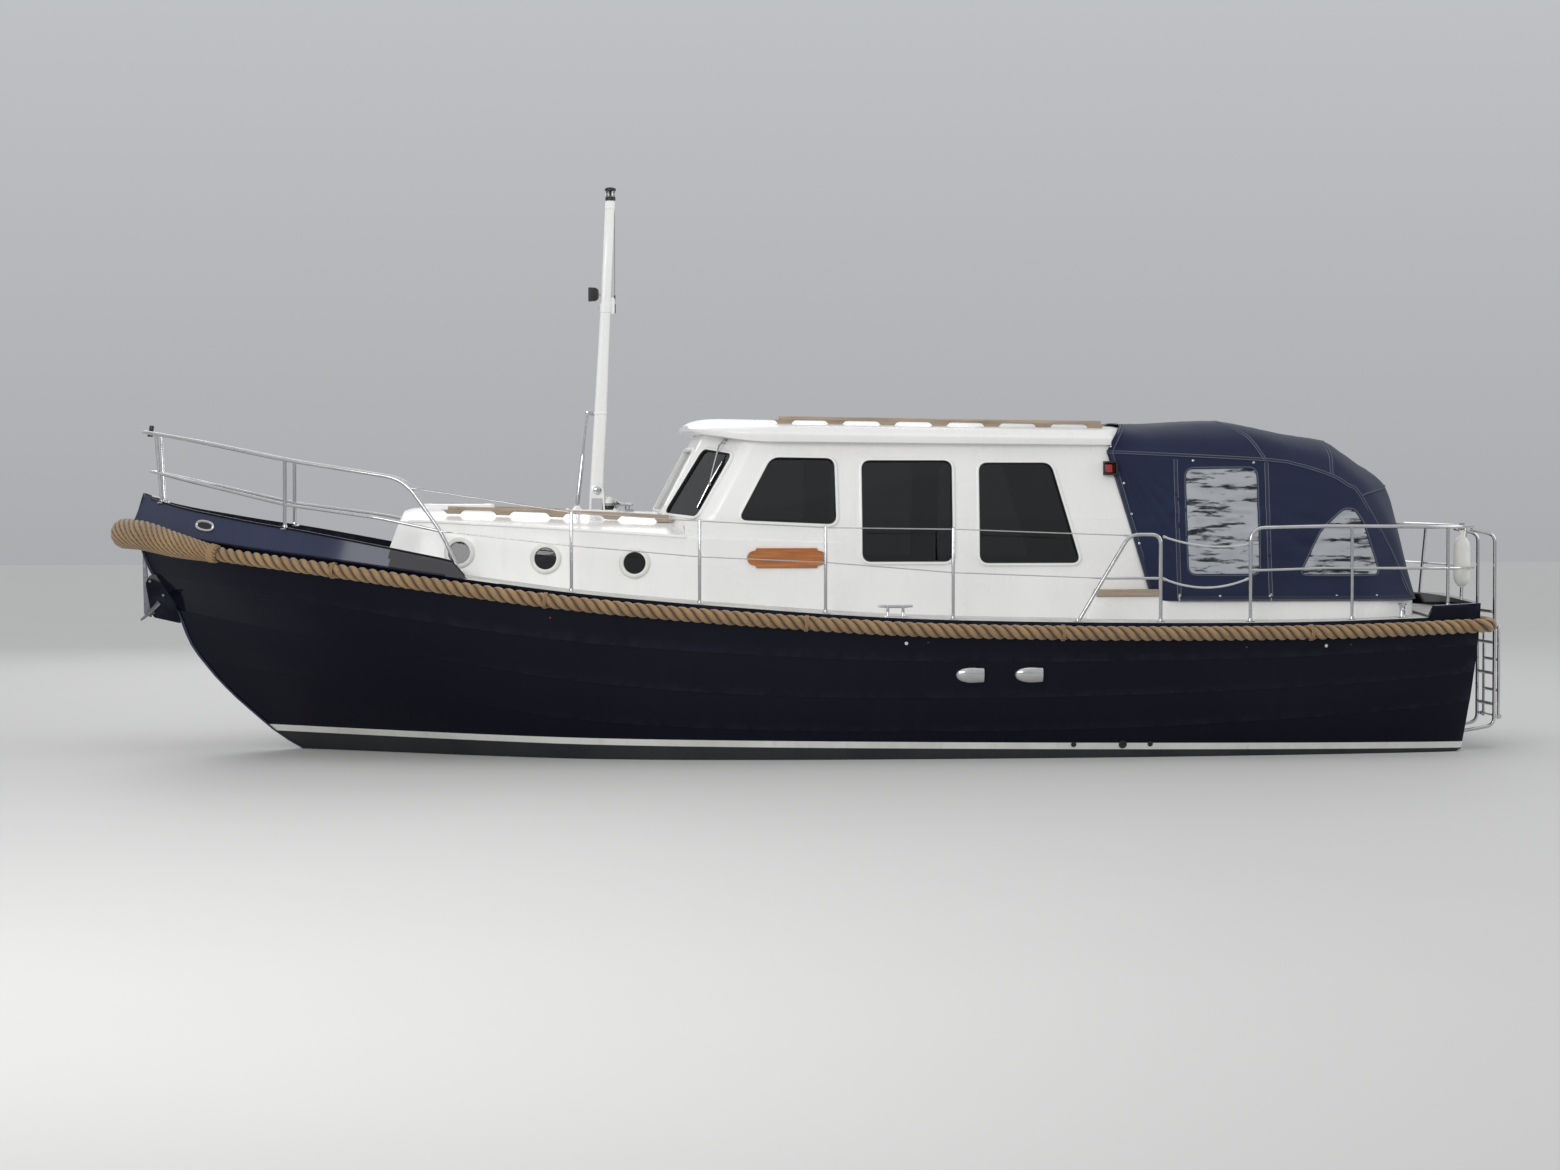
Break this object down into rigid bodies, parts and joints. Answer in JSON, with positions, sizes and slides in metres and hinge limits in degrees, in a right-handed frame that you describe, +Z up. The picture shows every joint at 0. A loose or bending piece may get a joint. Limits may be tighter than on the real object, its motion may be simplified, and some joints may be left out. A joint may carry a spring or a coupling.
{
  "type": "inland motor cruiser",
  "caption": "Steel-type displacement motor cruiser with a multi-knuckle hull, a forward coachroof, wheelhouse, covered cockpit, guard rails, folding mast, propeller and rudder.",
  "frame": {"origin": "on the waterline, on the centreline, midway between the transom and the stem head", "axes": "+X forward to the bow, +Y to port, +Z up"},
  "size_m": [10.3477, 3.5446, 5.1292],
  "materials": {
    "navy_hull_paint": "gloss",
    "white_paint": "gloss",
    "rope": "laid rope",
    "stainless": "polished",
    "teak": "weathered",
    "canvas": "woven",
    "window_glass": "tinted",
    "bronze": "cast",
    "engine_paint": "painted",
    "seat_leather": "soft",
    "white_plastic": "gloss",
    "black_plastic": "satin",
    "galvanised": "galvanised",
    "line_cover": "satin"
  },
  "bodies": {
    "root": {"hull": "navy_hull_paint", "rope_fender": "rope", "bow_fender": "rope", "coachroof": "white_paint", "wheelhouse": "white_paint", "window_fore_port": "window_glass", "window_fore_starboard": "window_glass", "window_middle_port": "window_glass", "window_middle_starboard": "window_glass", "window_aft_port": "window_glass", "window_aft_starboard": "window_glass", "windscreen_centre": "window_glass", "windscreen_port": "window_glass", "windscreen_starboard": "window_glass", "wheelhouse_roof": "white_paint", "cabin_sole": "teak", "engine": "engine_paint", "helm_console": "teak", "helm_seat": "seat_leather", "cockpit_coaming": "white_paint", "cockpit_benches": "white_paint", "canopy": "canvas", "pulpit": "stainless", "lifelines_port": "stainless", "lifelines_starboard": "stainless", "stern_rail": "stainless", "gate_line_upper_port": "line_cover", "gate_line_upper_starboard": "line_cover", "gate_line_lower_port": "line_cover", "gate_line_lower_starboard": "line_cover", "ladder_fixed": "stainless", "tabernacle": "stainless", "horn": "stainless", "coach_rail_port": "teak", "coach_rail_starboard": "teak", "roof_rail_port": "teak", "roof_rail_starboard": "teak", "cleat_mid_port": "stainless", "cleat_mid_starboard": "stainless", "bollard_aft_port": "stainless", "bollard_aft_starboard": "stainless", "fore_bitts": "stainless", "anchor": "galvanised", "hung_fender": "white_plastic"},
    "mast": {"mast": "white_paint", "masthead_light": "black_plastic"},
    "strut_cylinder": {"strut_cylinder": "black_plastic"},
    "strut_rod": {"strut_rod": "stainless"},
    "propeller": {"propeller": "bronze"},
    "rudder": {"rudder": "navy_hull_paint"},
    "helm_wheel": {"helm_wheel": "teak"},
    "cabin_door": {"cabin_door": "teak"},
    "fore_hatch": {"fore_hatch": "white_paint"},
    "ladder_folding": {"ladder_folding": "stainless"}
  },
  "joints": [
    {"name": "mast_fold", "type": "hinge", "parent": "root", "child": "mast", "pos_m": [1.54, 0, 1.93], "axis": [0, 1, 0], "range_deg": [0, 85]},
    {"name": "strut_swing", "type": "hinge", "parent": "root", "child": "strut_cylinder", "pos_m": [1.69, 0, 1.8], "axis": [0, 1, 0], "range_deg": [0, 84]},
    {"name": "strut_slide", "type": "slide", "parent": "strut_cylinder", "child": "strut_rod", "axis": [-0.1092, 0, 0.994], "range_m": [-0.275, 0]},
    {"name": "fore_hatch_open", "type": "hinge", "parent": "root", "child": "fore_hatch", "pos_m": [2.858, 0, 1.818], "axis": [0, -1, 0], "range_deg": [-85, 0]},
    {"name": "cabin_door_open", "type": "hinge", "parent": "root", "child": "cabin_door", "pos_m": [-2.421, 0.313, 1.4], "axis": [-0.2622, 0, -0.965], "range_deg": [0, 95]},
    {"name": "rudder_turn", "type": "hinge", "parent": "root", "child": "rudder", "pos_m": [-4.2, 0, -0.5], "axis": [0, 0, 1], "range_deg": [-35, 35]},
    {"name": "helm_turn", "type": "hinge", "parent": "root", "child": "helm_wheel", "pos_m": [0.56, -0.52, 1.43], "axis": [-0.9394, 0, 0.3429], "range_deg": [-560, 560]},
    {"name": "propeller_spin", "type": "hinge", "parent": "root", "child": "propeller", "pos_m": [-3.76, 0, -0.62], "axis": [1, 0, 0], "continuous": true},
    {"name": "ladder_drop", "type": "hinge", "parent": "root", "child": "ladder_folding", "pos_m": [-5.172, 0.625, 0.24], "axis": [0, -1, 0], "range_deg": [0, 175]}
  ],
  "couplings": [
    {"joint": "strut_swing", "follows": "mast_fold", "ratio": 0.967},
    {"joint": "strut_slide", "follows": "mast_fold", "m_per_rad": -0.17982},
    {"joint": "helm_turn", "follows": "rudder_turn", "ratio": 15.4}
  ]
}
